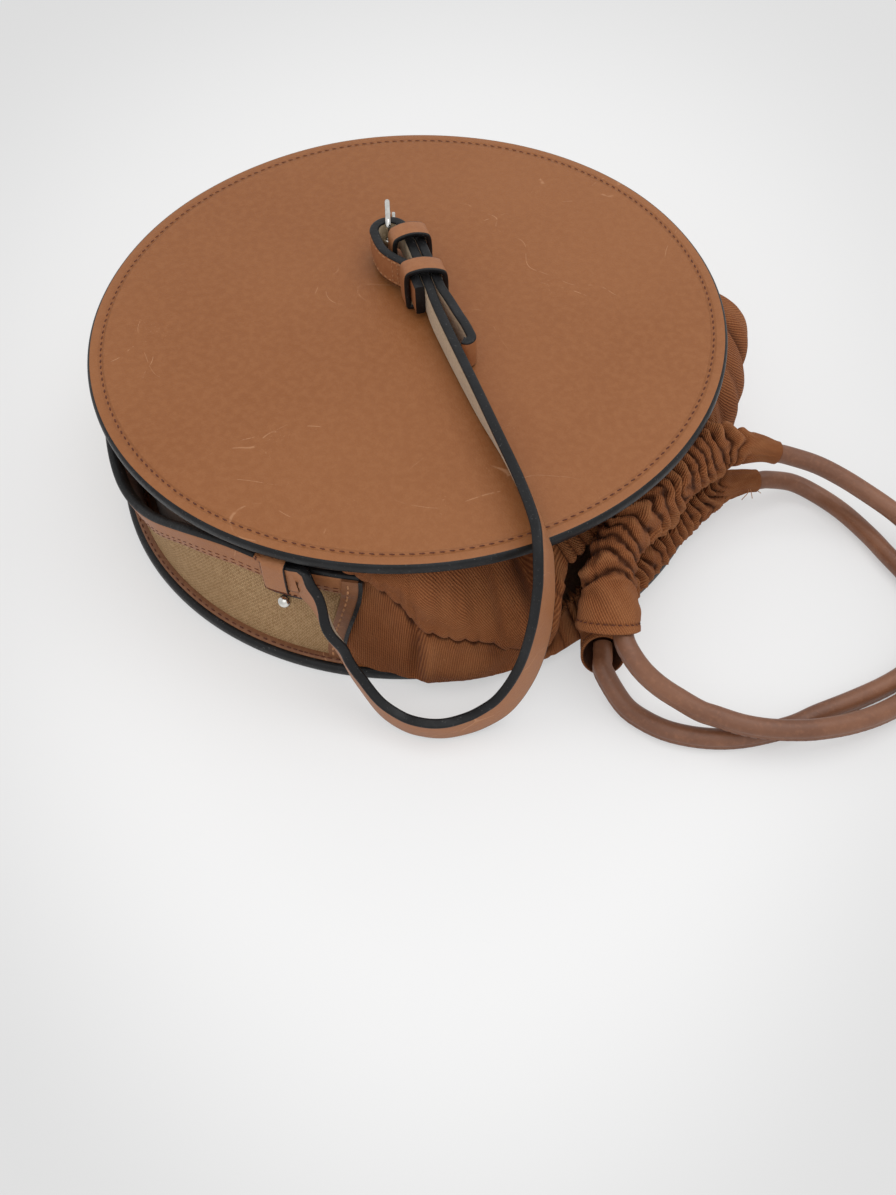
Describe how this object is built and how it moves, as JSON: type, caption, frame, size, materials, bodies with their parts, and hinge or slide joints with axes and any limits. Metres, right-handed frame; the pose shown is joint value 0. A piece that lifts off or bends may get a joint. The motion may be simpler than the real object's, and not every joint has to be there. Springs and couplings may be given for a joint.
{
  "type": "round crossbody bag",
  "caption": "Round leather shoulder bag with a canvas side wall, a cloth mouth ruched on rolled handles, and a buckled strap with leather keepers",
  "frame": {"origin": "centre of the back panel's outer face, on which the bag lies", "axes": "+X out of the bag's mouth, where the handles leave; +Z from the back panel to the front panel; +Y completes a right-handed frame"},
  "size_m": [0.3507, 0.242, 0.0847],
  "materials": {
    "tan_leather": "vegetable-tanned leather, painted black along the cut edges",
    "board": "bonded leather board inside the round panels",
    "suede": "pale suede lining",
    "canvas": "plain woven cotton canvas",
    "lining_cloth": "plain cotton lining",
    "twill": "soft brown twill, ruched on the handles",
    "handle_leather": "rolled brown leather with a sewn seam",
    "cord_core": "twisted cotton filler cord",
    "bright_metal": "polished nickel-plated steel"
  },
  "bodies": {
    "bag": {"back_leather": "tan_leather", "back_board": "board", "back_lining": "suede", "front_leather": "tan_leather", "front_board": "board", "front_lining": "suede", "side_wall": "canvas", "wall_lining": "suede", "wall_top_binding": "tan_leather", "wall_end_trim_far": "tan_leather", "wall_end_trim_near": "tan_leather", "wall_foot": "tan_leather", "lining_drum": "lining_cloth", "pouch_front_panel": "twill", "pouch_back_panel": "twill", "channel_front": "twill", "channel_back": "twill", "handle_front_inner": "handle_leather", "handle_back_inner": "handle_leather", "strap_leather": "tan_leather", "strap_suede": "suede", "strap_tip": "tan_leather", "keeper_fixed": "tan_leather", "strap_bridge_near": "tan_leather", "strap_bridge_far": "tan_leather", "stud_near": "bright_metal", "stud_far": "bright_metal", "stud_screw_near": "bright_metal", "stud_screw_far": "bright_metal"},
    "handle_front": {"handle_front_cover": "handle_leather", "handle_front_core": "cord_core"},
    "handle_back": {"handle_back_cover": "handle_leather", "handle_back_core": "cord_core"},
    "buckle_frame_body": {"buckle_frame": "bright_metal"},
    "buckle_prong_body": {"buckle_prong": "bright_metal"},
    "keeper_sliding_body": {"keeper_sliding": "tan_leather"}
  },
  "joints": [
    {"name": "handle_front_lift", "type": "hinge", "parent": "bag", "child": "handle_front", "pos_m": [0.138, 0, 0.0295], "axis": [0, -1, 0], "range_deg": [0, 95]},
    {"name": "handle_back_lift", "type": "hinge", "parent": "bag", "child": "handle_back", "pos_m": [0.132, 0, 0.0105], "axis": [0, -1, 0], "range_deg": [0, 25]},
    {"name": "buckle_frame_turn", "type": "hinge", "parent": "bag", "child": "buckle_frame_body", "pos_m": [-0.02801, 0.02364, 0.07605], "axis": [0, 0, 1], "range_deg": [-9, 31]},
    {"name": "buckle_prong_turn", "type": "hinge", "parent": "buckle_frame_body", "child": "buckle_prong_body", "pos_m": [-0.02801, 0.02364, 0.07605], "axis": [0, 0, -1], "range_deg": [0, 45]},
    {"name": "keeper_sliding_slide", "type": "slide", "parent": "bag", "child": "keeper_sliding_body", "axis": [-0.8192, 0.5736, 0], "range_m": [-0.004, 0.0005]}
  ],
  "couplings": [
    {"joint": "handle_back_lift", "follows": "handle_front_lift", "ratio": 0.26}
  ]
}
